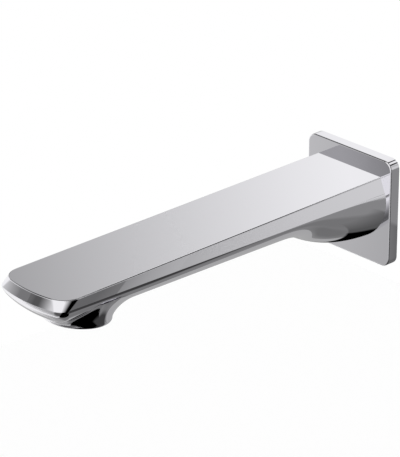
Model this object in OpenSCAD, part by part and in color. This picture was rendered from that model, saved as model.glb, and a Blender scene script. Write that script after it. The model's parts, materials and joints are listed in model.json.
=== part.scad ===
/* [Spout] */
// Distance from the wall to the tip of the spout
reach = 199.6; // [185:0.1:215]
// Width of the flat top at the tip
top_w = 40.2; // [38:0.1:44]
// Height of the flat top above the inlet axis
top_rise = 17.4; // [16.8:0.1:20]
// Thickness of the arm where it leaves the round belly
arm_t = 19.1; // [18.6:0.1:21]
// Depth of the belly below the inlet axis at the wall
belly = 16.9; // [16.2:0.1:20]
// How far the lower edge stands out from the top at the wall
flare = 2.8; // [1.5:0.1:4]

/* [Wall plate] */
// Side of the square wall plate
plate_w = 52; // [50:0.5:70]
// Thickness of the wall plate
plate_t = 5.5; // [5:0.1:8]
// Corner radius of the wall plate
plate_r = 4.5; // [3:0.1:8]

/* [Inlet] */
// Outside diameter of the pipe thread, half inch parallel
thread_d = 20.955; // [20.955:0.001:21]
// Length of the thread behind the wall face
thread_l = 13; // [10:0.5:18]
// Diameter of the smooth spigot the spout slides on
spigot_d = 19; // [18:0.1:19.4]
// Length of the spigot in front of the plate
spigot_l = 22.5; // [21.5:0.1:23]

/* [Outlet] */
// Distance from the tip back to the outlet axis
outlet_back = 28.8; // [28:0.1:36]
// Outside diameter of the outlet boss
outlet_d = 30; // [29:0.1:31]
// Depth of the boss below the inlet axis
outlet_drop = 3.8; // [3.4:0.1:6]
// Forward tilt of the outlet in degrees
outlet_tilt = 6.5; // [4:0.1:8]
// Thread diameter of the aerator
aerator_d = 24; // [23.6:0.1:24.2]

/* [Hidden] */

big = 1;
gap = 0.05;
seam = 0.01;
slide = 0.1;

// Outline of the spout, measured from the front of the plate
body_l = reach - plate_t;
tip_over = 2.5;
top_l = body_l - tip_over;
top_narrow = 0.6;
top_w0 = top_w - top_narrow;
low_w0 = top_w0 + 2 * flare;
low_more = 0.2;
low_w = top_w + low_more;
top_arc = 65;
low_arc = 62;
top_corner = 9.1;
low_corner = 5.6;
edge = 0.5;
edge_mid = 0.3 * edge;
band_wall = 7.2;
band_tip = 4;

// Belly under the spout
belly_arc = 73.1;
throat_arc = 40;
arm_z = top_rise - arm_t;
arm_rise = 0.0166;
arm_from = 45;
nose_l = 21.6;
spine_end = body_l - nose_l;
cheek = 3.49;
cheek_l = 61.5;
cheek_fade = 1.5;
bow = 1.3;

rear_n = 16;
rear_part = 0.33;
mid_n = 8;
corner_n = 6;
front_n = 5;
turn_n = 9;

function mix(a, b, t) = a + (b - a) * t;

function corner_x(w, rc) = w / 2 - rc;
function corner_y(w, l, ra, rc) =
    l - ra + sqrt(pow(ra - rc, 2) - pow(corner_x(w, rc), 2));
function corner_turn(w, l, ra, rc) =
    atan2(corner_y(w, l, ra, rc) - (l - ra), corner_x(w, rc));

side_steps = concat(
    [for (i = [0 : rear_n - 1]) rear_part * i / rear_n],
    [for (i = [0 : mid_n]) mix(rear_part, 1, i / mid_n)]);

function half_outline(w0, w, l, ra, rc) =
    let (cx = corner_x(w, rc))
    let (cy = corner_y(w, l, ra, rc))
    let (ct = corner_turn(w, l, ra, rc))
    concat(
        [for (t = side_steps) [mix(w0, w, t) / 2, cy * t]],
        [for (i = [1 : corner_n])
            let (a = ct * i / corner_n)
            [cx + rc * cos(a), cy + rc * sin(a)]],
        [for (i = [1 : front_n])
            let (a = mix(ct, 90, i / front_n))
            [ra * cos(a), l - ra + ra * sin(a)]]);

half_n = len(side_steps) + corner_n + front_n;
round_n = 2 * half_n - 1;

function mirrored(p, z) = concat(
    [for (i = [0 : half_n - 1]) [p[i][0], p[i][1], z[i]]],
    [for (i = [1 : half_n - 1])
        let (k = half_n - 1 - i) [-p[k][0], p[k][1], z[k]]]);

function flat_z(z) = [for (i = [0 : half_n - 1]) z];

function crease_z(y) = top_rise - mix(band_wall, band_tip, y / body_l);

low_line = half_outline(low_w0, low_w, body_l, low_arc, low_corner);
low_ring = mirrored(low_line, [for (p = low_line) crease_z(p[1])]);

function top_ring(inset, z) = mirrored(half_outline(
    top_w0 - 2 * inset, top_w - 2 * inset, top_l - inset,
    top_arc - inset, top_corner - inset), flat_z(z));

// Height of the keel under the centre line
arc_drop = (belly_arc - belly) - (arm_z - throat_arc);
throat_end = sqrt(pow(belly_arc + throat_arc, 2) - pow(arc_drop, 2));
arc_end = throat_end * belly_arc / (belly_arc + throat_arc);

function keel(y) =
    y < arc_end ? belly_arc - belly - sqrt(pow(belly_arc, 2) - pow(y, 2)) :
    y < throat_end ? arm_z - throat_arc
        + sqrt(pow(throat_arc, 2) - pow(throat_end - y, 2))
        + arm_rise * (throat_end - arm_from)
        * (y - arc_end) / (throat_end - arc_end) :
    arm_z + arm_rise * (y - arm_from);

function bulge(y) = cheek * pow(max(0, 1 - y / cheek_l), cheek_fade);

function under(p, turn) =
    let (s = min(p[1], spine_end))
    let (k = keel(s))
    [p[0] * cos(turn) + sign(p[0]) * bulge(s) * sin(2 * turn),
        mix(s, p[1], cos(turn)),
        p[2] - (p[2] - k) * pow(sin(turn), bow)];

rings = concat(
    [top_ring(edge, top_rise)],
    [top_ring(edge_mid, top_rise - edge_mid)],
    [top_ring(0, top_rise - edge)],
    [low_ring],
    [for (k = [1 : turn_n - 1])
        [for (p = low_ring) under(p, 90 * k / turn_n)]]);
ring_n = len(rings);

spine_n = len([for (p = low_line) if (p[1] < spine_end) p]);
spine = concat(
    [for (i = [0 : spine_n - 1]) [0, low_line[i][1], keel(low_line[i][1])]],
    [[0, spine_end, keel(spine_end)]]);

hull_points = concat([for (r = rings) for (p = r) p], spine);

function ring_at(r, i) = r < ring_n ? r * round_n + i :
    ring_n * round_n + min(min(i, round_n - 1 - i), spine_n);

function real_face(f) = f[0] != f[1] && f[1] != f[2] && f[2] != f[0];

hull_sides = [for (r = [0 : ring_n - 1]) for (i = [0 : round_n - 2])
    for (f = [
        [ring_at(r, i), ring_at(r, i + 1), ring_at(r + 1, i)],
        [ring_at(r, i + 1), ring_at(r + 1, i + 1), ring_at(r + 1, i)]])
        if (real_face(f)) f];

hull_top = [[for (i = [0 : round_n - 1]) round_n - 1 - i]];
hull_rear = [concat(
    [for (r = [0 : ring_n]) ring_at(r, 0)],
    [for (r = [1 : ring_n]) ring_at(ring_n - r, round_n - 1)])];

// Height of the underside above a point of the plan
function low_half(y) = mix(low_w0, low_w, y / body_l) / 2;
corner_cx = corner_x(low_w, low_corner);
corner_cy = corner_y(low_w, body_l, low_arc, low_corner);
function inside_low(x, y) =
    abs(x) <= low_half(y)
    && norm([x, y - body_l + low_arc]) <= low_arc
    && (abs(x) < corner_cx || y < corner_cy
        || norm([abs(x) - corner_cx, y - corner_cy]) <= low_corner);
function shrink(x, y, lo, hi, n) =
    n == 0 ? (lo + hi) / 2 :
    let (m = (lo + hi) / 2)
    inside_low(x / m, spine_end + (y - spine_end) / m)
        ? shrink(x, y, lo, m, n - 1) : shrink(x, y, m, hi, n - 1);
function under_z(x, y) =
    let (past = y > spine_end)
    let (c = past ? shrink(x, y, 0.001, 1, 20)
        : min(1, abs(x) / low_half(y)))
    let (k = keel(min(y, spine_end)))
    let (z = crease_z(past ? spine_end + (y - spine_end) / c : y))
    z - (z - k) * pow(sqrt(1 - c * c), bow);

// Outlet boss, its sides flowing out into the underside
outlet_y = body_l - outlet_back;
outlet_r = outlet_d / 2;
outlet_z = -outlet_drop;
outlet_edge = 1.4;
spread_front = 3.1;
spread_rear = 11.4;
spread_side = 4.4;
run_front = 0.23;
run_rear = 0.45;
lift_front = 0.17;
lift_rear = 0.27;
boss_n = 40;
flow_n = 8;
sink = 0.35;
probe = 0.2;

function spread(a) = mix(spread_side,
    sin(a) > 0 ? spread_front : spread_rear, pow(sin(a), 2));
function ahead(rear, front, a) = mix(rear, front, (1 + sin(a)) / 2);
function tilt_z(a) = tan(outlet_tilt) * outlet_r * sin(a);
function boss_xy(a, r) = [r * cos(a), outlet_y + r * sin(a)];
function height_at(a, r) =
    let (p = boss_xy(a, r)) under_z(p[0], p[1]);

function flow(a, t) =
    let (re = outlet_r + spread(a))
    let (ze = height_at(a, re))
    let (slope = (ze - height_at(a, re - probe)) / probe)
    let (z0 = outlet_z + outlet_edge + tilt_z(a))
    let (run = ahead(run_rear, run_front, a) * spread(a))
    let (lift = ahead(lift_rear, lift_front, a) * (ze - z0))
    let (r = outlet_r * pow(1 - t, 3) + 3 * outlet_r * t * pow(1 - t, 2)
        + 3 * (re - run) * t * t * (1 - t) + re * pow(t, 3))
    let (z = z0 * pow(1 - t, 3) + 3 * (z0 + lift) * t * pow(1 - t, 2)
        + 3 * (ze - run * slope) * t * t * (1 - t) + ze * pow(t, 3))
    [r, z + sink * t];

function boss_ring(k) = [for (i = [0 : boss_n - 1])
    let (a = 360 * i / boss_n)
    let (q = k < 3
        ? [outlet_r - outlet_edge * (1 - sin(45 * k)),
            outlet_z + outlet_edge * (1 - cos(45 * k)) + tilt_z(a)]
        : flow(a, (k - 2) / flow_n))
    let (p = boss_xy(a, q[0]))
    [p[0], p[1], q[1]]];

boss_rings = [for (k = [0 : flow_n + 2]) boss_ring(k)];
boss_m = len(boss_rings);
boss_points = concat([for (r = boss_rings) for (p = r) p],
    [[0, outlet_y, top_rise / 2]]);
boss_sides = [for (k = [0 : boss_m - 2]) for (i = [0 : boss_n - 1])
    let (j = (i + 1) % boss_n)
    for (f = [
        [k * boss_n + i, (k + 1) * boss_n + i, k * boss_n + j],
        [k * boss_n + j, (k + 1) * boss_n + i, (k + 1) * boss_n + j]]) f];
boss_floor = [[for (i = [0 : boss_n - 1]) i]];
boss_lid = [for (i = [0 : boss_n - 1])
    [(boss_m - 1) * boss_n + i, boss_m * boss_n,
        (boss_m - 1) * boss_n + (i + 1) % boss_n]];

// Inlet parts
thread_r = thread_d / 2;
thread_lead = 1;
neck_in = 0.9;
spigot_r = spigot_d / 2;
spigot_lead = 0.8;
socket_r = spigot_r + slide;
socket_lead = 0.7;
end_gap = 1.5;
socket_l = spigot_l + end_gap;
washer_t = 1.5;
plate_skin = 2;
hollow = plate_t - plate_skin;
flange_t = hollow - washer_t;
flange_r = 12.6;
bore_r = 5.5;
key_af = 12;
key_l = 8;
ring_w = 2.1;
ring_t = 1.6;
groove_w = 2.6;
ring_end = 3.3;
ring_step = 5;
ring_front = spigot_l - ring_end;
ring_rear = ring_front - ring_step;
lock_y = 8;
lock_w = 3.6;
lock_depth = 1.2;
strainer_r = 7.6;
strainer_t = 1.2;
strainer_seat = 2.2;
strainer_hole = 0.75;
strainer_step = 1.9;

screw_r = 2.5;
plug_in = 1.9;
screw_z0 = -belly + plug_in;
hex_af = 2.5;
hex_l = 2;
dog_r = 1.6;
dog_l = 1.9;
screw_top = -(spigot_r - lock_depth);
plug_t = 1.2;

seal_r = 14;
seal_w = 1.6;
seal_t = 1.2;

// Water passage
way_r = 4.5;
aer_r = aerator_d / 2;
seat_h = 7.4;
seat_z = outlet_z + seat_h;
chamber_r = 9.5;
way_step = 0.7;
way_z = seat_z + way_step + way_r;
chamber_over = 0.1;
chamber_top = way_z + way_r + chamber_over;

// Plate details
plate_edge = 0.6;
plate_wall = 2;
collar_gap = 0.3;
collar_r = flange_r + collar_gap;
collar_t = 2;
hole_gap = 0.4;
post_more = 0.6;
post_r = plate_r - plate_wall + post_more;
gasket_gap = 0.3;
post_gap = 0.6;

module lying(y) {
    translate([0, y, 0])
        rotate([90, 0, 0])
            children();
}

module at_outlet(z) {
    translate([0, -(plate_t + outlet_y), outlet_z])
        rotate([-outlet_tilt, 0, 0])
            translate([0, 0, z - outlet_z])
                children();
}

module plan() {
    translate([0, -plate_t, 0])
        mirror([0, 1, 0])
            children();
}

module hull_shape() {
    plan()
        polyhedron(points = hull_points,
            faces = concat(hull_sides, hull_top, hull_rear));
}

module boss_shape() {
    plan()
        polyhedron(points = boss_points,
            faces = concat(boss_sides, boss_floor, boss_lid));
}

module spout_body() {
    color("silver")
        difference() {
            resize([0, 0, 0])
                union() {
                    hull_shape();
                    boss_shape();
                }
            lying(-plate_t + big)
                cylinder(r = socket_r, h = socket_l + big, $fn = 96);
            lying(-plate_t + big)
                cylinder(r1 = socket_r + socket_lead + big, r2 = socket_r,
                    h = socket_lead + big, $fn = 96);
            translate([0, 0, way_z])
                lying(-plate_t - socket_l + big)
                    cylinder(r = way_r, h = outlet_y - socket_l + big,
                        $fn = 64);
            at_outlet(seat_z - big)
                cylinder(r = chamber_r, h = chamber_top - seat_z + big,
                    $fn = 96);
            at_outlet(outlet_z - big)
                cylinder(r = aer_r, h = seat_z - outlet_z + big, $fn = 96);
            translate([0, -plate_t - lock_y, -belly - big])
                cylinder(r = screw_r + gap, h = belly + big, $fn = 48);
            lying(-plate_t + big)
                difference() {
                    cylinder(r = seal_r + seal_w / 2, h = seal_t + big,
                        $fn = 96);
                    cylinder(r = seal_r - seal_w / 2, h = seal_t + big,
                        $fn = 96);
                }
        }
}

module plate_profile(w, e) {
    difference() {
        square([w, plate_t]);
        translate([w - e, plate_t - e])
            difference() {
                square([e + big, e + big]);
                circle(r = e, $fn = 32);
            }
    }
}

module wall_plate() {
    half = plate_w / 2;
    core = half - plate_r;
    inner = half - plate_wall;
    color("silver")
        difference() {
            lying(0)
                union() {
                    for (a = [0 : 90 : 270])
                        rotate([0, 0, a]) {
                            translate([core, core, 0])
                                rotate_extrude($fn = 64)
                                    plate_profile(plate_r, plate_edge);
                            translate([core, core, 0])
                                rotate([90, 0, 0])
                                    linear_extrude(height = 2 * core)
                                        plate_profile(plate_r, plate_edge);
                        }
                    translate([-core, -core, 0])
                        cube([2 * core, 2 * core, plate_t]);
                }
            lying(big)
                difference() {
                    translate([-inner, -inner, 0])
                        cube([2 * inner, 2 * inner, hollow + big]);
                    cylinder(r = collar_r + collar_t, h = plate_t + big,
                        $fn = 96);
                    for (x = [-1, 1])
                        for (z = [-1, 1])
                            translate([x * inner, z * inner, 0])
                                cylinder(r = post_r, h = plate_t + big,
                                    $fn = 48);
                }
            lying(big)
                cylinder(r = collar_r, h = hollow + big, $fn = 96);
            lying(big)
                cylinder(r = spigot_r + hole_gap, h = plate_t + 2 * big,
                    $fn = 96);
        }
}

module plate_gasket() {
    side = plate_w / 2 - plate_wall - gasket_gap;
    color("dimgray")
        lying(0)
            difference() {
                translate([-side, -side, 0])
                    cube([2 * side, 2 * side, hollow]);
                translate([0, 0, -big])
                    cylinder(r = collar_r + collar_t + gasket_gap,
                        h = hollow + 2 * big, $fn = 96);
                for (x = [-1, 1])
                    for (z = [-1, 1])
                        translate([x * side, z * side, -big])
                            cylinder(r = post_r + post_gap,
                                h = hollow + 2 * big, $fn = 48);
            }
}

module body_seal() {
    color("dimgray")
        lying(-plate_t)
            difference() {
                cylinder(r = seal_r + seal_w / 2 - gap, h = seal_t,
                    $fn = 96);
                translate([0, 0, -big])
                    cylinder(r = seal_r - seal_w / 2 + gap,
                        h = seal_t + 2 * big, $fn = 96);
            }
}

module spigot_cut(y, w, d) {
    translate([0, 0, y + plate_t - w / 2])
        difference() {
            cylinder(r = spigot_r + big, h = w, $fn = 96);
            translate([0, 0, -big])
                cylinder(r = spigot_r - d, h = w + 2 * big, $fn = 96);
        }
}

module wall_nipple() {
    color("goldenrod")
        lying(0)
            difference() {
                union() {
                    translate([0, 0, -thread_l])
                        cylinder(r1 = thread_r - thread_lead, r2 = thread_r,
                            h = thread_lead, $fn = 96);
                    translate([0, 0, thread_lead - thread_l])
                        cylinder(r = thread_r, h = thread_l - thread_lead,
                            $fn = 96);
                    translate([0, 0, -big])
                        cylinder(r = thread_r - neck_in, h = washer_t + 2 * big,
                            $fn = 96);
                    translate([0, 0, washer_t])
                        cylinder(r = flange_r, h = flange_t, $fn = 96);
                    translate([0, 0, washer_t])
                        cylinder(r = spigot_r,
                            h = plate_t + spigot_l - washer_t - spigot_lead,
                            $fn = 96);
                    translate([0, 0, plate_t + spigot_l - spigot_lead])
                        cylinder(r1 = spigot_r, r2 = spigot_r - spigot_lead,
                            h = spigot_lead, $fn = 96);
                }
                spigot_cut(ring_rear, groove_w, ring_t - slide);
                spigot_cut(ring_front, groove_w, ring_t - slide);
                spigot_cut(lock_y, lock_w, lock_depth);
                translate([0, 0, -thread_l - big])
                    cylinder(r = bore_r,
                        h = thread_l + plate_t + spigot_l + 2 * big,
                        $fn = 64);
                translate([0, 0, -thread_l - big])
                    cylinder(r = strainer_r, h = strainer_seat + big,
                        $fn = 64);
                translate([0, 0, plate_t + spigot_l - key_l])
                    cylinder(r = key_af / sqrt(3), h = key_l + big,
                        $fn = 6);
            }
}

module nipple_washer() {
    color("seagreen")
        lying(0)
            difference() {
                cylinder(r = flange_r - 0.2, h = washer_t, $fn = 96);
                translate([0, 0, -big])
                    cylinder(r = thread_r + gap, h = washer_t + 2 * big,
                        $fn = 96);
            }
}

module inlet_strainer() {
    color("lightgray")
        lying(thread_l - strainer_seat + strainer_t)
            difference() {
                cylinder(r = strainer_r - gap, h = strainer_t, $fn = 64);
                comb(2, strainer_step)
                    translate([0, 0, -big])
                        cylinder(r = strainer_hole, h = strainer_t + 2 * big,
                            $fn = 24);
            }
}

module comb(n, step) {
    for (i = [-n : n])
        for (j = [max(-n, -n - i) : min(n, n - i)])
            translate([step * (i + j / 2), step * j * sqrt(3) / 2, 0])
                children();
}

module spigot_ring(y) {
    mid = spigot_r + slide - ring_t / 2;
    side = (ring_w - ring_t) / 2;
    color("black")
        lying(-plate_t - y)
            rotate_extrude($fn = 96)
                translate([mid, 0])
                    union() {
                        translate([-ring_t / 2, -side])
                            square([ring_t, 2 * side]);
                        translate([0, -side])
                            circle(r = ring_t / 2, $fn = 32);
                        translate([0, side])
                            circle(r = ring_t / 2, $fn = 32);
                    }
}

module grub_screw() {
    color("dimgray")
        translate([0, -plate_t - lock_y, 0])
            difference() {
                union() {
                    translate([0, 0, screw_z0])
                        cylinder(r = screw_r,
                            h = screw_top - dog_l - screw_z0, $fn = 48);
                    translate([0, 0, screw_top - dog_l - big])
                        cylinder(r = dog_r, h = dog_l + big, $fn = 48);
                }
                translate([0, 0, screw_z0 - big])
                    cylinder(r = hex_af / sqrt(3), h = hex_l + big, $fn = 6);
            }
}

module grub_plug() {
    color("silver")
        translate([0, -plate_t - lock_y, screw_z0 - plug_t])
            cylinder(r = screw_r, h = plug_t, $fn = 48);
}

// Aerator, a stack of pieces measured up from the rim of the outlet
housing_in = 0.3;
housing_z = outlet_z + housing_in;
housing_r = aer_r - gap;
housing_wall = 1.5;
stack_r = aer_r - housing_wall;
lip_t = 0.8;
lip_w = 1.1;
lip_r = stack_r - lip_w;
notch_w = 2.8;
notch_in = 0.2;
grid_z = housing_z + lip_t;
grid_t = 1.4;
grid_step = 2.5;
grid_hole = 2.1;
low_screen_z = grid_z + grid_t;
screen_rim = 0.7;
screen_t = 0.3;
screen_hole = 0.6;
screen_step = 1.9;
screen_turn = 30;
up_screen_z = low_screen_z + screen_rim;
cage_z = up_screen_z + screen_rim;
cage_flange = 0.8;
cage_r = chamber_r - slide;
cage_wall = 1.1;
cage_slot = 0.5;
cage_slot_w = 2.4;
cage_over = 0.4;
cage_top = seat_z + cage_over;
housing_top = seat_z - washer_t;
ledge_down = 0.9;
ledge_z = housing_top - ledge_down;
ledge_t = 0.7;
ledge_w = 0.7;
jet_z = ledge_z + ledge_t;
jet_t = 1.2;
jet_r = cage_r - cage_wall - gap;
jet_hole = 0.55;
jet_circle = 6;
cone_t = 1.2;
cone_tip = 1.2;
cone_r = 4;
limit_z = jet_z + jet_t;
limit_t = 2.2;
limit_r = 6.9;
limit_rim = 0.6;
limit_top = limit_z + limit_t;
limit_foot_r = 7;
limit_foot_t = 0.5;
trough_r = 6;
trough_t = 1;
pin_r = 2.2;
pin_over = 1.6;
vent_r = 0.9;
vent_circle = 5.2;
cord_r = 0.9;
cord_circle = 3.6;
dome_z = cage_top + limit_rim;
dome_rim = 0.6;
dome_in = 0.6;
dome_r = cage_r - dome_in;
dome_t = 0.5;
dome_h = 4.2;
dome_hole = 0.55;
dome_step = 1.9;

module disc(r, z, t) {
    at_outlet(z)
        cylinder(r = r, h = t, $fn = 96);
}

module aerator_housing() {
    color("silver")
        difference() {
            disc(housing_r, housing_z, housing_top - housing_z);
            disc(lip_r, housing_z - big, lip_t + 2 * big);
            disc(stack_r, grid_z, housing_top - grid_z + big);
            for (a = [45 : 90 : 315])
                at_outlet(housing_z - big)
                    rotate([0, 0, a])
                        translate([stack_r - notch_in, -notch_w / 2, 0])
                            cube([housing_wall + big, notch_w, lip_t / 2 + big]);
        }
}

module aerator_washer() {
    color("black")
        difference() {
            disc(housing_r - 0.2, housing_top, washer_t);
            disc(chamber_r + gap, housing_top - big, washer_t + 2 * big);
        }
}

module outlet_grid() {
    color("whitesmoke")
        difference() {
            disc(stack_r - gap, grid_z, grid_t);
            at_outlet(grid_z - big)
                comb(3, grid_step)
                    rotate([0, 0, 30])
                        cylinder(r = grid_hole / sqrt(3), h = grid_t + 2 * big,
                            $fn = 6);
        }
}

module screen(z, turn) {
    color("gainsboro")
        difference() {
            disc(stack_r - gap, z, screen_rim);
            disc(lip_r, z + screen_t, screen_rim);
            at_outlet(z - big)
                rotate([0, 0, turn])
                    comb(4, screen_step)
                        cylinder(r = screen_hole, h = screen_t + 2 * big,
                            $fn = 16);
        }
}

module aerator_cage() {
    color("whitesmoke")
        difference() {
            union() {
                disc(stack_r - gap, cage_z, cage_flange);
                disc(cage_r, cage_z, cage_top - cage_z);
            }
            disc(cage_r - cage_wall, jet_z, cage_top - jet_z + big);
            disc(cage_r - cage_wall - ledge_w, cage_z - big,
                cage_top - cage_z);
            disc(cage_r - cage_wall, cage_z - big,
                ledge_z - cage_z + big);
            for (a = [0 : 45 : 315])
                at_outlet(cage_z + cage_flange)
                    rotate([0, 0, a])
                        translate([cage_r - 2 * cage_wall, -cage_slot_w / 2, 0])
                            cube([4 * cage_wall, cage_slot_w, cage_slot]);
        }
}

module jet_plate() {
    color("whitesmoke")
        difference() {
            union() {
                disc(jet_r, jet_z, jet_t);
                at_outlet(jet_z - cone_t)
                    cylinder(r1 = cone_tip, r2 = cone_r, h = cone_t, $fn = 64);
            }
            for (a = [0 : 30 : 330])
                at_outlet(jet_z - big)
                    rotate([0, 0, a])
                        translate([jet_circle, 0, 0])
                            cylinder(r = jet_hole, h = jet_t + 2 * big,
                                $fn = 20);
        }
}

module flow_limiter() {
    color("seagreen")
        difference() {
            union() {
                disc(jet_r, limit_z, cage_top + limit_rim - limit_z);
                disc(limit_r, limit_z, limit_t);
                disc(cage_r, cage_top, limit_rim);
                disc(pin_r, limit_z, limit_t + pin_over);
            }
            at_outlet(limit_top - trough_t)
                difference() {
                    cylinder(r = trough_r, h = trough_t + big, $fn = 96);
                    translate([0, 0, -big])
                        cylinder(r = pin_r, h = trough_t + 3 * big, $fn = 64);
                }
            for (a = [0 : 45 : 315])
                at_outlet(limit_z - big)
                    rotate([0, 0, a])
                        translate([vent_circle, 0, 0])
                            cylinder(r = vent_r, h = limit_t + 2 * big,
                                $fn = 24);
            disc(limit_foot_r, limit_z - big, limit_foot_t + big);
        }
}

module limiter_ring() {
    color("black")
        at_outlet(limit_top - trough_t + cord_r)
            rotate_extrude($fn = 96)
                translate([cord_circle, 0])
                    circle(r = cord_r, $fn = 32);
}

module dome_filter() {
    ball = (dome_r * dome_r + dome_h * dome_h) / (2 * dome_h);
    color("whitesmoke")
        at_outlet(dome_z)
            difference() {
                union() {
                    cylinder(r = cage_r, h = dome_rim, $fn = 96);
                    intersection() {
                        translate([0, 0, dome_h - ball])
                            sphere(r = ball, $fn = 96);
                        cylinder(r = dome_r, h = 2 * dome_h, $fn = 96);
                    }
                }
                translate([0, 0, dome_h - ball])
                    intersection() {
                        sphere(r = ball - dome_t, $fn = 96);
                        translate([0, 0, ball - dome_h - big])
                            cylinder(r = dome_r - dome_t,
                                h = 2 * dome_h, $fn = 96);
                    }
                translate([0, 0, -big])
                    cylinder(r = dome_r - dome_t, h = big + seam,
                        $fn = 96);
                comb(3, dome_step)
                    cylinder(r = dome_hole, h = 2 * dome_h, $fn = 16);
            }
}

spout_body();
wall_plate();
plate_gasket();
body_seal();
wall_nipple();
nipple_washer();
inlet_strainer();
spigot_ring(ring_rear);  // spigot_ring_rear
spigot_ring(ring_front);  // spigot_ring_front
grub_screw();
grub_plug();
aerator_housing();
aerator_washer();
aerator_cage();
jet_plate();
flow_limiter();
limiter_ring();
dome_filter();
screen(up_screen_z, screen_turn);  // screen_upper
screen(low_screen_z, 0);  // screen_lower
outlet_grid();
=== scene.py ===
import json
import math

import bpy
import numpy as np
from mathutils import Matrix, Vector

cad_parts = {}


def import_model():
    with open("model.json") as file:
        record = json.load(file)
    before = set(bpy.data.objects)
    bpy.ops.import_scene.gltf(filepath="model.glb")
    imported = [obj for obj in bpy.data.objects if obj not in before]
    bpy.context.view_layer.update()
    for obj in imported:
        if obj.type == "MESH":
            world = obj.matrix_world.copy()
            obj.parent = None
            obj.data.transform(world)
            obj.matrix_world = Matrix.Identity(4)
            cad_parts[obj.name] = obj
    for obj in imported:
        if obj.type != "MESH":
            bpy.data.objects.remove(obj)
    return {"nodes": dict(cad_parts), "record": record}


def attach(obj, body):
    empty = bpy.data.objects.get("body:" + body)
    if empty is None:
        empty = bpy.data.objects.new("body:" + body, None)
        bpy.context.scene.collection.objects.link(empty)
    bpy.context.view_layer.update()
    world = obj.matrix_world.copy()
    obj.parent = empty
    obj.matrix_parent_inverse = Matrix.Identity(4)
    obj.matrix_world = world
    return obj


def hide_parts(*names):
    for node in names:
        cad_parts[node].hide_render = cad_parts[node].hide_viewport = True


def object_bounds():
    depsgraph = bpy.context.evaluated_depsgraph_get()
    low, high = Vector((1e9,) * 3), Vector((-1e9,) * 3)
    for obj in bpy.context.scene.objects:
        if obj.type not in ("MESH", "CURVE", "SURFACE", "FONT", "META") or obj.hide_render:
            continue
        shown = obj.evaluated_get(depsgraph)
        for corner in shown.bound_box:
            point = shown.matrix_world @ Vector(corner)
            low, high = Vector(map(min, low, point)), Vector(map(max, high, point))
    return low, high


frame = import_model()
CAD_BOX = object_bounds()
NODES = frame["nodes"]
MM = 0.001


# Camera, fitted to the photograph: angles in degrees, places in millimetres, clipping in metres
CAMERA_AZIMUTH = 46.4811
CAMERA_ELEVATION = 24.4472
FOCAL_PX = 2850.0
LONG_SIDE_PX = 457.0
SENSOR = 36.0
CAMERA_DISTANCE = 1306.2
CAMERA_LEFT = 67.90
CAMERA_DOWN = 13.19
CLIP_NEAR, CLIP_FAR = 0.05, 50
PLATE_T = 5.5


def camera():
    azimuth, elevation = math.radians(CAMERA_AZIMUTH), math.radians(CAMERA_ELEVATION)
    level = math.cos(elevation)
    back = Vector((math.sin(azimuth) * level, -math.cos(azimuth) * level, math.sin(elevation)))
    right = Vector((math.cos(azimuth), math.sin(azimuth), 0))
    up = back.cross(right)
    data = bpy.data.cameras.new("camera")
    data.sensor_width = SENSOR
    data.sensor_fit = "AUTO"
    data.lens = FOCAL_PX / LONG_SIDE_PX * SENSOR
    data.clip_start = CLIP_NEAR
    data.clip_end = CLIP_FAR
    place = Vector((0, -PLATE_T, 0)) + back * CAMERA_DISTANCE - right * CAMERA_LEFT - up * CAMERA_DOWN
    eye = bpy.data.objects.new("camera", data)
    bpy.context.collection.objects.link(eye)
    eye.location = place * MM
    eye.rotation_euler = (math.radians(90 - CAMERA_ELEVATION), 0, azimuth)
    bpy.context.scene.camera = eye


# Form of the spout, in millimetres. x runs across, y from the front of the plate to the tip, z up
BODY_LENGTH = 194.1
TIP_LEAN = 2.5
TOP_LENGTH = BODY_LENGTH - TIP_LEAN
TOP_Z = 17.4
TOP_WALL_W, TOP_TIP_W = 39.6, 40.2
LOW_WALL_W, LOW_TIP_W = 45.2, 40.4
TOP_FRONT_ARC, LOW_FRONT_ARC = 65.0, 62.0
TOP_CORNER, LOW_CORNER = 9.1, 5.6
EDGE = 0.5
BAND_AT_WALL, BAND_AT_TIP = 7.2, 4.0

# Underside: belly at the wall, throat, arm, and the nose past the end of the spine
BELLY_DROP, BELLY_ARC, THROAT_ARC = 16.9, 73.1, 40.0
ARM_Z = TOP_Z - 19.1
ARM_RISE, ARM_FROM = 0.0166, 45.0
SPINE_END = BODY_LENGTH - 21.6
CHEEK, CHEEK_LENGTH, CHEEK_FADE = 3.49, 61.5, 1.5
BOW = 1.3

# Outlet boss: its tilted foot, and how its flank spreads into the underside
OUTLET_Y = BODY_LENGTH - 28.8
OUTLET_R = 15.0
OUTLET_Z = -3.8
OUTLET_TILT = math.tan(math.radians(6.5))
OUTLET_EDGE = 1.4
SPREAD_FRONT, SPREAD_REAR, SPREAD_SIDE = 3.1, 11.4, 4.4
RUN_FRONT, RUN_REAR = 0.23, 0.45
LIFT_FRONT, LIFT_REAR = 0.17, 0.27
BORE_R, BORE_TOP, BORE_MOUTH = 12.0, 7.4, 0.3
FOOT_RADII = (BORE_R, 12.4, 13.0, OUTLET_R - OUTLET_EDGE)

# Socket for the nipple, and the hole of the grub screw with its soft rim
SOCKET_R, SOCKET_DEPTH = 9.6, 24.0
LOCK_Y, LOCK_R, LOCK_TOP = 8.0, 2.55, -11.0
LOCK_RIM = (LOCK_R, 2.75, 3.0, 3.4, 3.9)
LOCK_RIM_SINK = 0.03

# How finely the skin is divided, and where its points crowd
SIDE_N, CORNER_N, FRONT_N = 130, 26, 22
SIDE_EVEN, SIDE_CROWD = 0.45, 0.55
EDGE_N, EDGE_STEP = 7, 15
BAND_STEPS = (0, 0.25, 0.5, 0.75, 0.95, 1)
TURN_N, TURN_CROWD = 72, 1.25
BOSS_N, FLANK_N = 180, 48
HALVINGS = 32
LEAST_OUT, LEAST_TURN = 0.001, math.radians(20)
SLOPE_STEP = 0.2
NO_LENGTH = 1e-12

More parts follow.
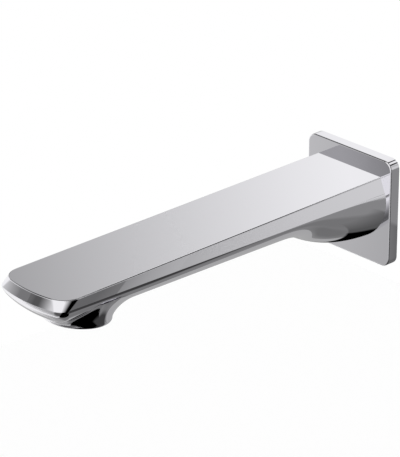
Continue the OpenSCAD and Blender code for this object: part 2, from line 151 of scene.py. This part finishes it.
# Where the underside opens for the boss and the screw, and how the boss laps under it
OPEN_SIDE, OPEN_ENDS = 0.2, 0.6
LOCK_OPEN = 0.7
LAP = ((0.5, 0.0), (1.0, 0.01), (1.6, 0.04))
LAP_SIDE = 0.3


def mix(a, b, t):
    return a + (b - a) * t


def half_outline(wall_w, tip_w, length, front_arc, corner):
    """Plan of one half: along the side, round the corner and to the middle of the front."""
    corner_x = tip_w / 2 - corner
    corner_y = length - front_arc + math.sqrt((front_arc - corner) ** 2 - corner_x ** 2)
    turned = math.atan2(corner_y - (length - front_arc), corner_x)
    t = np.linspace(0, 1, SIDE_N + 1)
    t = SIDE_EVEN * t + SIDE_CROWD * t * t
    side = np.stack([mix(wall_w, tip_w, t) / 2, corner_y * t], 1)
    angle = turned * np.linspace(0, 1, CORNER_N + 1)[1:]
    bend = np.stack([corner_x + corner * np.cos(angle), corner_y + corner * np.sin(angle)], 1)
    angle = mix(turned, math.pi / 2, np.linspace(0, 1, FRONT_N + 1)[1:])
    front = np.stack([front_arc * np.cos(angle), length - front_arc + front_arc * np.sin(angle)], 1)
    front[-1, 0] = 0
    return np.vstack([side, bend, front])


def mirrored(half):
    other = half[-2::-1].copy()
    other[:, 0] *= -1
    return np.vstack([half, other])


def top_ring(inset, z):
    plan = mirrored(half_outline(TOP_WALL_W - 2 * inset, TOP_TIP_W - 2 * inset, TOP_LENGTH - inset,
                                 TOP_FRONT_ARC - inset, TOP_CORNER - inset))
    return np.column_stack([plan, np.full(len(plan), z)])


def crease_z(y):
    return TOP_Z - mix(BAND_AT_WALL, BAND_AT_TIP, y / BODY_LENGTH)


def crease_ring():
    plan = mirrored(half_outline(LOW_WALL_W, LOW_TIP_W, BODY_LENGTH, LOW_FRONT_ARC, LOW_CORNER))
    return np.column_stack([plan, crease_z(plan[:, 1])])


CREASE = crease_ring()
CORNER_X = LOW_TIP_W / 2 - LOW_CORNER
CORNER_Y = BODY_LENGTH - LOW_FRONT_ARC + math.sqrt((LOW_FRONT_ARC - LOW_CORNER) ** 2 - CORNER_X ** 2)


def keel(y):
    """Height of the underside along its middle: belly arc, throat arc, then the rising arm."""
    both = BELLY_ARC + THROAT_ARC
    drop = (BELLY_ARC - BELLY_DROP) - (ARM_Z - THROAT_ARC)
    end = math.sqrt(both ** 2 - drop ** 2)
    turn = end * BELLY_ARC / both
    belly = BELLY_ARC - BELLY_DROP - np.sqrt(np.maximum(BELLY_ARC ** 2 - y ** 2, 0))
    to_end = np.clip(end - y, 0, THROAT_ARC)
    throat = ARM_Z - THROAT_ARC + np.sqrt(np.maximum(THROAT_ARC ** 2 - to_end ** 2, 0))
    throat = throat + ARM_RISE * (end - ARM_FROM) * (y - turn) / (end - turn)
    arm = ARM_Z + ARM_RISE * (y - ARM_FROM)
    return np.where(y < turn, belly, np.where(y < end, throat, arm))


def bulge(y):
    return CHEEK * np.clip(1 - y / CHEEK_LENGTH, 0, 1) ** CHEEK_FADE


def under_ring(turn):
    """Line round the underside, turned from the crease at 0 to the keel at a right angle."""
    x, y, z = CREASE.T
    spine = np.minimum(y, SPINE_END)
    out, down = math.cos(turn), math.sin(turn)
    return np.column_stack([x * out + np.sign(x) * bulge(spine) * math.sin(2 * turn),
                            mix(spine, y, out), z - (z - keel(spine)) * max(down, 0) ** BOW])


def half_width(y):
    return mix(LOW_WALL_W, LOW_TIP_W, y / BODY_LENGTH) / 2


def inside_crease(x, y):
    x = np.abs(x)
    before_corner = (x < CORNER_X) | (y < CORNER_Y)
    in_corner = np.hypot(x - CORNER_X, y - CORNER_Y) <= LOW_CORNER
    in_front = np.hypot(x, y - BODY_LENGTH + LOW_FRONT_ARC) <= LOW_FRONT_ARC
    return (x <= half_width(y)) & in_front & (before_corner | in_corner)


def halve(low, high, is_above):
    """Halves a range until it is tiny; is_above says where the answer lies above a value."""
    for _ in range(HALVINGS):
        middle = (low + high) / 2
        above = is_above(middle)
        low, high = np.where(above, middle, low), np.where(above, high, middle)
    return (low + high) / 2


def under_z(x, y):
    """Height of the underside above points of the plan."""
    x, y = np.broadcast_arrays(np.asarray(x, float), np.asarray(y, float))
    past = y > SPINE_END

    def outside(out):
        return ~inside_crease(x / out, SPINE_END + (y - SPINE_END) / out)

    def reaches(turn):
        return half_width(y) * np.cos(turn) + bulge(y) * np.sin(2 * turn) > np.abs(x)

    nose = halve(np.full(x.shape, LEAST_OUT), np.ones(x.shape), outside)
    turn = halve(np.full(x.shape, LEAST_TURN), np.full(x.shape, math.pi / 2), reaches)
    out = np.where(past, nose, np.cos(turn))
    low = keel(np.minimum(y, SPINE_END))
    z = crease_z(np.where(past, SPINE_END + (y - SPINE_END) / out, y))
    return z - (z - low) * np.sqrt(np.maximum(1 - out * out, 0)) ** BOW


def to_frame(points):
    return np.column_stack([points[:, 0], -(PLATE_T + points[:, 1]), points[:, 2]]) * MM


def grid_normals(grid, closed):
    down = np.gradient(grid, axis=0)
    if closed:
        wrapped = np.concatenate([grid[:, -1:], grid, grid[:, :1]], 1)
        across = (wrapped[:, 2:] - wrapped[:, :-2]) / 2
    else:
        across = np.gradient(grid, axis=1)
    normals = np.cross(down, across)
    normals[..., 1] *= -1
    size = np.linalg.norm(normals, axis=2, keepdims=True)
    return normals / np.maximum(size, NO_LENGTH)


class Skin:
    """Collects grids of points with their own normals into one mesh."""

    def __init__(self):
        self.points, self.normals, self.faces = [], [], []
        self.count = 0

    def add(self, points, normals, faces):
        self.points.append(points)
        self.normals.append(normals)
        self.faces += [[i + self.count for i in face] for face in faces]
        self.count += len(points)

    def grid(self, grid, closed=False, flip=False, keep=None, normals=None):
        """A grid is rows by columns by 3, in the spout's own millimetres; keep marks the faces that stay."""
        rows, columns = grid.shape[:2]
        if normals is None:
            normals = grid_normals(grid, closed)
            if flip:
                normals = -normals
        faces = []
        for i in range(rows - 1):
            for j in range(columns if closed else columns - 1):
                if keep is not None and not keep[i, j]:
                    continue
                k = (j + 1) % columns
                face = [i * columns + j, i * columns + k, (i + 1) * columns + k, (i + 1) * columns + j]
                faces.append(face[::-1] if flip else face)
        self.add(to_frame(grid.reshape(-1, 3)), normals.reshape(-1, 3), faces)

    def build(self, name):
        mesh = bpy.data.meshes.new(name)
        mesh.from_pydata(np.vstack(self.points).tolist(), [], self.faces)
        mesh.polygons.foreach_set("use_smooth", [True] * len(mesh.polygons))
        mesh.normals_split_custom_set_from_vertices(np.vstack(self.normals).tolist())
        thing = bpy.data.objects.new(name, mesh)
        bpy.context.collection.objects.link(thing)
        return thing


def flat_top(skin):
    ring = top_ring(EDGE, TOP_Z)
    skin.add(to_frame(ring), np.tile([0, 0, 1.0], (len(ring), 1)), [list(range(len(ring)))[::-1]])


def top_edge(skin):
    """Soft edge round the top; gives its lowest ring."""
    rings = []
    for i in range(EDGE_N):
        turn = math.radians(EDGE_STEP * i)
        rings.append(top_ring(EDGE * (1 - math.sin(turn)), TOP_Z - EDGE * (1 - math.cos(turn))))
    skin.grid(np.stack(rings))
    return rings[-1]


def side_band(skin, ring):
    """Band from the top's edge down to the crease."""
    band = np.stack([mix(ring, CREASE, t) for t in BAND_STEPS])
    skin.grid(band)
    return band


def spread(angle):
    """How far the boss's flank spreads at an angle round it, where a right angle is the front."""
    ends = np.where(np.sin(angle) > 0, SPREAD_FRONT, SPREAD_REAR)
    return mix(SPREAD_SIDE, ends, np.sin(angle) ** 2)


def underside(skin):
    """Underside, open where the boss and the screw hole are."""
    turns = np.linspace(0, 1, TURN_N + 1) ** TURN_CROWD * math.pi / 2
    under = np.stack([under_ring(turn) for turn in turns])
    middle = (under[1:, 1:] + under[:-1, :-1]) / 2
    x, y, z = np.moveaxis(middle, -1, 0)
    angle = np.arctan2(y - OUTLET_Y, x)
    boss_reach = OUTLET_R + spread(angle) - mix(OPEN_SIDE, OPEN_ENDS, np.sin(angle) ** 2)
    on_screw = (np.hypot(x, y - LOCK_Y) < LOCK_R + LOCK_OPEN) & (z < 0)
    skin.grid(under, keep=(np.hypot(x, y - OUTLET_Y) > boss_reach) & ~on_screw)
    return under


def outlet_ring(angle, radius, z):
    """Points round the outlet's axis; z counts from the boss's tilted foot."""
    angle, radius, z = np.broadcast_arrays(angle, radius, z)
    tilted = OUTLET_Z + z + OUTLET_TILT * OUTLET_R * np.sin(angle)
    return np.stack([radius * np.cos(angle), OUTLET_Y + radius * np.sin(angle), tilted], -1)


def bezier(start, first, second, end, t):
    u = 1 - t
    return start * u ** 3 + 3 * first * t * u ** 2 + 3 * second * t * t * u + end * t ** 3


def boss_flank(angle, t):
    """Flank of the outlet boss, from its foot at t 0 to the underside at t 1."""
    reach = OUTLET_R + spread(angle)
    ahead = (1 + np.sin(angle)) / 2

    def height(radius):
        return under_z(radius * np.cos(angle), OUTLET_Y + radius * np.sin(angle))

    top = height(reach)
    slope = (top - height(reach - SLOPE_STEP)) / SLOPE_STEP
    foot = OUTLET_Z + OUTLET_EDGE + OUTLET_TILT * OUTLET_R * np.sin(angle)
    run = mix(RUN_REAR, RUN_FRONT, ahead) * spread(angle)
    lift = mix(LIFT_REAR, LIFT_FRONT, ahead) * (top - foot)
    radius = bezier(OUTLET_R, OUTLET_R, reach - run, reach, t)
    z = bezier(foot, foot + lift, top - run * slope, top, t)
    return np.stack([radius * np.cos(angle), OUTLET_Y + radius * np.sin(angle), z], -1)


def boss_lap(angle):
    """Rings just past the flank that follow the underside and sink under it."""
    rings = []
    for past, sink in LAP:
        radius = OUTLET_R + spread(angle) + past * mix(LAP_SIDE, 1, np.sin(angle) ** 2)
        x, y = radius * np.cos(angle), OUTLET_Y + radius * np.sin(angle)
        rings.append(np.stack([x, y, under_z(x, y) + sink], -1))
    return np.concatenate(rings)


def outlet_boss(skin, angle):
    skin.grid(outlet_ring(angle, BORE_R, np.array([[BORE_TOP], [BORE_MOUTH]])), closed=True, flip=True)
    foot = outlet_ring(angle, np.array(FOOT_RADII)[:, None], 0)
    skin.grid(foot, closed=True, flip=True)
    turn = np.radians(np.arange(EDGE_N) * EDGE_STEP)[:, None]
    edge = outlet_ring(angle, OUTLET_R - OUTLET_EDGE * (1 - np.sin(turn)), OUTLET_EDGE * (1 - np.cos(turn)))
    skin.grid(edge, closed=True, flip=True)
    flank = boss_flank(angle, np.linspace(0, 1, FLANK_N)[:, None])
    skin.grid(np.concatenate([flank, boss_lap(angle)]), closed=True, flip=True)


def screw_hole(skin, angle):
    radius = np.array(LOCK_RIM)[:, None]
    x, y = radius * np.cos(angle), LOCK_Y + radius * np.sin(angle)
    z = under_z(x, y)
    z[-1] += LOCK_RIM_SINK
    rim = np.stack([x, y, z], -1)
    skin.grid(rim, closed=True, flip=True)
    top = rim[0].copy()
    top[:, 2] = LOCK_TOP
    skin.grid(np.stack([top, rim[0]]), closed=True, flip=True)


def rear_face(skin, band, under):
    """Rear face round the socket, and the socket itself."""
    flat, edge = top_ring(EDGE, TOP_Z), top_ring(0, TOP_Z - EDGE)
    outer = np.vstack([flat[:1], edge[:1], band[:, 0], under[:, 0],
                       under[::-1, -1], band[::-1, -1], edge[-1:], flat[-1:]])
    angle = np.arctan2(outer[:, 2], outer[:, 0])
    inner = np.column_stack([SOCKET_R * np.cos(angle), 0 * angle, SOCKET_R * np.sin(angle)])
    deep = inner + [0, SOCKET_DEPTH, 0]
    to_wall = np.tile([0, 1.0, 0], (2 * len(outer), 1)).reshape(2, -1, 3)
    skin.grid(np.stack([outer, inner]), closed=True, normals=to_wall)
    skin.grid(np.stack([inner, deep]), closed=True)


def spout():
    skin = Skin()
    flat_top(skin)
    band = side_band(skin, top_edge(skin))
    under = underside(skin)
    angle = np.linspace(0, 2 * math.pi, BOSS_N, endpoint=False)[None, :]
    outlet_boss(skin, angle)
    screw_hole(skin, angle)
    rear_face(skin, band, under)
    return skin.build("spout_skin")


# Materials: roughness and a fine relief vary by a noise in the object's own coordinates
CHROME = (0.845, 0.838, 0.872)
RELIEF = 0.0002
NOISE_DETAIL = 4
FINISHES = {}


def material(name, color, rough, metal=0.0, bump=0.0, scale=200.0, vary=0.02):
    made = bpy.data.materials.new(name)
    made.use_nodes = True
    tree = made.node_tree
    surface = tree.nodes["Principled BSDF"]
    surface.inputs["Base Color"].default_value = (*color, 1)
    surface.inputs["Metallic"].default_value = metal
    place = tree.nodes.new("ShaderNodeTexCoord")
    noise = tree.nodes.new("ShaderNodeTexNoise")
    noise.inputs["Scale"].default_value = scale
    noise.inputs["Detail"].default_value = NOISE_DETAIL
    tree.links.new(place.outputs["Object"], noise.inputs["Vector"])
    span = tree.nodes.new("ShaderNodeMapRange")
    span.inputs["To Min"].default_value = max(rough - vary, 0)
    span.inputs["To Max"].default_value = rough + vary
    tree.links.new(noise.outputs["Fac"], span.inputs["Value"])
    tree.links.new(span.outputs["Result"], surface.inputs["Roughness"])
    if bump:
        relief = tree.nodes.new("ShaderNodeBump")
        relief.inputs["Strength"].default_value = bump
        relief.inputs["Distance"].default_value = RELIEF
        tree.links.new(noise.outputs["Fac"], relief.inputs["Height"])
        tree.links.new(relief.outputs["Normal"], surface.inputs["Normal"])
    FINISHES[name] = made
    return made


def polished(name):
    return material(name, CHROME, rough=0.03, metal=1.0, bump=0.004, scale=90, vary=0.012)


def rubber(name, shade=0.02, rough=0.6):
    return material(name, (shade, shade, shade), rough, bump=0.2, scale=900)


def plastic(name, color):
    return material(name, color, rough=0.45, bump=0.05, scale=700)


def materials():
    """One for each slot of the record."""
    polished("spout_chrome")
    polished("plate_chrome")
    material("housing_chrome", (0.85, 0.85, 0.86), rough=0.08, metal=1.0, bump=0.01, scale=300)
    material("plug_chrome", (0.62, 0.63, 0.64), rough=0.2, metal=1.0, bump=0.02, scale=400)
    material("nipple_brass", (0.62, 0.44, 0.17), rough=0.24, metal=1.0, bump=0.05, scale=700, vary=0.06)
    material("strainer_steel", (0.5, 0.5, 0.52), rough=0.3, metal=1.0, bump=0.05, scale=900)
    material("screw_steel", (0.12, 0.12, 0.13), rough=0.35, metal=1.0, bump=0.1, scale=700)
    material("screen_steel", (0.55, 0.55, 0.57), rough=0.3, metal=1.0, bump=0.1, scale=1500)
    material("foam", (0.03, 0.03, 0.032), rough=0.9, bump=0.6, scale=2500)
    material("fibre_washer", (0.05, 0.13, 0.08), rough=0.8, bump=0.3, scale=1500)
    material("grid_plastic", (0.28, 0.29, 0.30), rough=0.4, bump=0.08, scale=900)
    rubber("seal_rubber")
    rubber("washer_rubber")
    rubber("limiter_rubber")
    rubber("ring_rubber", shade=0.015, rough=0.5)
    plastic("cage_plastic", (0.65, 0.65, 0.62))
    plastic("jet_plastic", (0.62, 0.62, 0.59))
    plastic("limiter_plastic", (0.03, 0.15, 0.10))
    plastic("filter_plastic", (0.68, 0.68, 0.65))


def dress(body):
    """Gives the skin and every node the material of its slot."""
    body.data.materials.append(FINISHES["spout_chrome"])
    for part in frame["record"]["subparts"]:
        slots = NODES[part["node"]].data.materials
        slots.clear()
        slots.append(FINISHES[part["material_slot"]])


# Studio: a white room, with grey and black cards round the spout that its polish shows.
# Directions are azimuths from the wall towards +X and elevations; widths, heights, soft edges
# and rolls are in degrees as seen from the spout, and a shade of 1 is white. Distances are metres
AIM = (Vector(CAD_BOX[0]) + Vector(CAD_BOX[1])) / 2
REACH = 2.5
LAYER = 0.01
FLOOR_Z = -2.6
FLOOR_HALF = 4.0
WALL_CARD_Z = -27.5
CARDS = []


def tan(degrees):
    return math.tan(math.radians(degrees))


def facing(azimuth, elevation, roll=0.0):
    """Direction from the spout, and the turn that faces a thing there to the spout."""
    azimuth, elevation = math.radians(azimuth), math.radians(elevation)
    level = math.cos(elevation)
    way = Vector((math.sin(azimuth) * level, math.cos(azimuth) * level, math.sin(elevation)))
    right = Vector((math.cos(azimuth), -math.sin(azimuth), 0))
    up = right.cross(way)
    turn = Matrix((right, up, -way)).transposed() @ Matrix.Rotation(math.radians(roll), 3, "Z")
    return way, turn.to_4x4()


def card_material(name, half, soft, shade, is_round):
    """Plain shade that fades out over its soft edges, by the place on the card."""
    made = bpy.data.materials.new(name)
    made.use_nodes = True
    made.cycles.emission_sampling = "NONE"
    tree = made.node_tree
    tree.nodes.clear()
    link = tree.links.new
    place = tree.nodes.new("ShaderNodeTexCoord").outputs["Object"]

    def vector_step(operation, value):
        step = tree.nodes.new("ShaderNodeVectorMath")
        step.operation = operation
        link(value, step.inputs[0])
        return step

    def fade(distance, edge, width):
        span = tree.nodes.new("ShaderNodeMapRange")
        link(distance, span.inputs["Value"])
        span.inputs["From Min"].default_value = edge
        span.inputs["From Max"].default_value = edge + width
        span.inputs["To Min"].default_value = 1.0
        span.inputs["To Max"].default_value = 0.0
        return span.outputs["Result"]

    if is_round:
        squeezed = vector_step("MULTIPLY", place)
        squeezed.inputs[1].default_value = (half[1] / half[0], 1, 0)
        radius = vector_step("LENGTH", squeezed.outputs[0])
        cover = fade(radius.outputs["Value"], half[1], soft[1])
    else:
        size = vector_step("ABSOLUTE", place)
        axes = tree.nodes.new("ShaderNodeSeparateXYZ")
        link(size.outputs[0], axes.inputs[0])
        both = tree.nodes.new("ShaderNodeMath")
        both.operation = "MULTIPLY"
        link(fade(axes.outputs["X"], half[0], soft[0]), both.inputs[0])
        link(fade(axes.outputs["Y"], half[1], soft[1]), both.inputs[1])
        cover = both.outputs[0]
    clear = tree.nodes.new("ShaderNodeBsdfTransparent")
    paint = tree.nodes.new("ShaderNodeEmission")
    paint.inputs["Color"].default_value = (shade, shade, shade, 1)
    mixed = tree.nodes.new("ShaderNodeMixShader")
    link(cover, mixed.inputs[0])
    link(clear.outputs[0], mixed.inputs[1])
    link(paint.outputs[0], mixed.inputs[2])
    link(mixed.outputs[0], tree.nodes.new("ShaderNodeOutputMaterial").inputs["Surface"])
    return made


def flat_sheet(name, half_x, half_y, z, finish):
    """A level rectangle with one material, which isn't part of the object."""
    mesh = bpy.data.meshes.new(name)
    corners = [(-half_x, -half_y, z), (half_x, -half_y, z), (half_x, half_y, z), (-half_x, half_y, z)]
    mesh.from_pydata(corners, [], [(0, 1, 2, 3)])
    mesh.materials.append(finish)
    thing = bpy.data.objects.new(name, mesh)
    bpy.context.collection.objects.link(thing)
    return thing


def hang(name, matrix, half, soft, shade, is_round=False):
    """A card that only reflections show, with half sizes and soft edges in metres."""
    finish = card_material(name, half, soft, shade, is_round)
    thing = flat_sheet(name, half[0] + soft[0], half[1] + soft[1], 0, finish)
    thing.matrix_world = matrix
    thing.visible_camera = False
    thing.visible_diffuse = False
    thing.visible_transmission = False
    thing.visible_shadow = False
    CARDS.append(thing)


def card(name, azimuth, elevation, half_w, half_h, soft, shade, roll=0.0, is_round=False, reach=None):
    """Card that faces the spout. A later far one stands a little nearer, so it covers earlier ones."""
    if reach is None:
        reach = REACH - LAYER * len(CARDS)
    soft_w, soft_h = soft if isinstance(soft, tuple) else (soft, soft)
    half = (reach * tan(half_w), reach * tan(half_h))
    edge = (reach * tan(soft_w), reach * tan(soft_h))
    if is_round:
        edge = (edge[1] * half[0] / half[1], edge[1])
    way, turn = facing(azimuth, elevation, roll)
    hang(name, Matrix.Translation(AIM + way * reach) @ turn, half, edge, shade, is_round)


def wall_card(name, behind, half, soft, shade):
    """Small upright card just behind the wall plane, for the belly's reflections, in millimetres."""
    place = Matrix.Translation(Vector((0, behind, WALL_CARD_Z)) * MM)
    _, turn = facing(0, 0)
    hang(name, place @ turn, [size * MM for size in half], [size * MM for size in soft], shade)


def cards():
    """Each far or near card has its azimuth, elevation, half width and half height."""
    # Behind and below: greys that shade the underside
    card("grey_behind_low", -15, -30, 38, 30, soft=14, shade=0.42)
    card("grey_below", -5, -75, 18, 18, soft=24, shade=0.18, is_round=True)
    card("grey_below_left", -72, -60, 7, 7, soft=9, shade=0.35, is_round=True)
    # Right, fading outwards, for the corner of the tip
    card("dark_right", 80, 15, 13, 13, soft=45, shade=0.0, is_round=True)
    # White again behind, for the side of the arm and the plate's edges
    card("white_behind", 3, 6, 45, 40, soft=8, shade=0.95, is_round=True)
    # Overhead, for the soft edge round the top
    card("dark_overhead", -20, 78, 40, 28, soft=4, shade=0.15, is_round=True)
    card("dark_overhead_left", -92, 46, 36, 17, soft=3, shade=0.08, is_round=True)
    # Left, for the top face, which darkens towards the tip, and for the tip's left end
    card("grey_left", -67, 25, 12, 14, soft=12, shade=0.4)
    card("dark_left", -64, 12, 4, 8, soft=2, shade=0.05)
    # In front, for the tip and the plate
    card("grey_front", -131, 22, 5, 5, soft=30, shade=0.21, is_round=True)
    card("dark_front", -143, 27, 2, 12, soft=10, shade=0.1)
    card("grey_front_low", -150, -28, 12, 14, soft=14, shade=0.46)
    card("grey_front_below", 172, -60, 15, 15, soft=42, shade=0.1, is_round=True)
    card("grey_front_right", 127, -15, 7, 17, soft=1, shade=0.28)
    # Right, for the side and the belly
    card("grey_right", 75, -38, 22, 18, soft=40, shade=0.15)
    card("grey_side", 54, 16, 9, 5, soft=(3, 32), shade=0.72)
    card("grey_behind_right", 34, -21, 15, 20, soft=1, shade=0.27)
    card("dark_behind_right", 31, -47, 9, 6, soft=6, shade=0.2)
    card("black_right", 72, -4, 14, 15, soft=1, shade=0.0)
    card("black_below", 75, -72, 25, 25, soft=2, shade=0.0, is_round=True)
    # Near ones, which one end of the spout shows and the other doesn't
    card("black_outlet", 86, -50, 30, 30, soft=2, shade=0.0, is_round=True, reach=1.0)
    card("dark_crease", 60, -46, 14, 12, soft=5, shade=0.05, reach=0.27)
    card("grey_plate", -119, 28, 8, 4, soft=8, shade=0.44, reach=0.47)
    card("dark_above", 20, 57, 18, 16, soft=1, shade=0.03, reach=0.385)
    card("dark_above_right", 46, 31, 16, 9, soft=1, shade=0.03, roll=-50, reach=0.6)
    wall_card("dark_wall", behind=3, half=(22, 18.5), soft=(20, 2), shade=0.1)
    wall_card("black_wall", behind=2, half=(15, 17.5), soft=(3, 3), shade=0.0)


# The photograph's spout shows no image of its plate, while the plate shows the spout
UNREFLECTED = ("wall_plate", "plate_gasket", "wall_nipple", "nipple_washer", "inlet_strainer")


def leave_out_of_reflections():
    for name in UNREFLECTED:
        NODES[name].visible_glossy = False


def floor():
    finish = material("floor", (0.99, 0.99, 0.99), rough=0.9, bump=0.02, scale=40)
    flat_sheet("floor", FLOOR_HALF, FLOOR_HALF, FLOOR_Z, finish)


def world():
    room = bpy.data.worlds.new("studio")
    bpy.context.scene.world = room
    room.use_nodes = True
    room.cycles.sampling_method = "NONE"
    white = room.node_tree.nodes["Background"]
    white.inputs["Color"].default_value = (1, 1, 1, 1)
    white.inputs["Strength"].default_value = 1.0


camera()
body = spout()
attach(body, "root")
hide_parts("spout_body")
materials()
dress(body)
cards()
leave_out_of_reflections()
floor()
world()
bpy.context.scene.view_settings.view_transform = "Standard"
